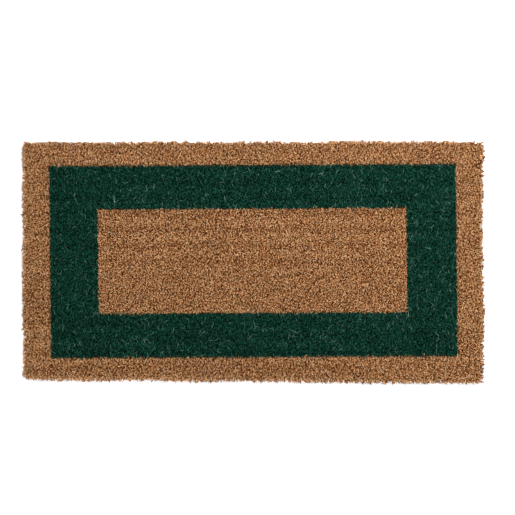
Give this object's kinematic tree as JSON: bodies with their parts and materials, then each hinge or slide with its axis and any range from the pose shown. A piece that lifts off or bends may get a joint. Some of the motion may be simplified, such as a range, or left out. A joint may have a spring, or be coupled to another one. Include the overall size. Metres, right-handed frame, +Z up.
{
  "type": "door mat",
  "caption": "Rectangular coir door mat: upright tufts in a vinyl sheet, sheared level, with a dyed rectangular band inside a natural border.",
  "frame": {"origin": "middle of the footprint, on the floor that the mat lies on", "axes": "+X along the length to the right, +Y across the mat to the back, +Z up out of the pile"},
  "size_m": [0.75, 0.394, 0.015],
  "materials": {
    "vinyl": "matt cast vinyl with a fine moulded grain underneath",
    "natural_coir": "undyed coir fibre, sheared, matt",
    "green_coir": "coir fibre dyed dark green, sheared, matt"
  },
  "bodies": {
    "root": {"vinyl_backing": "vinyl", "natural_border_back": "natural_coir", "natural_border_front": "natural_coir", "natural_border_left": "natural_coir", "natural_border_right": "natural_coir", "green_band_back": "green_coir", "green_band_front": "green_coir", "green_band_left": "green_coir", "green_band_right": "green_coir", "natural_centre": "natural_coir"}
  },
  "joints": []
}
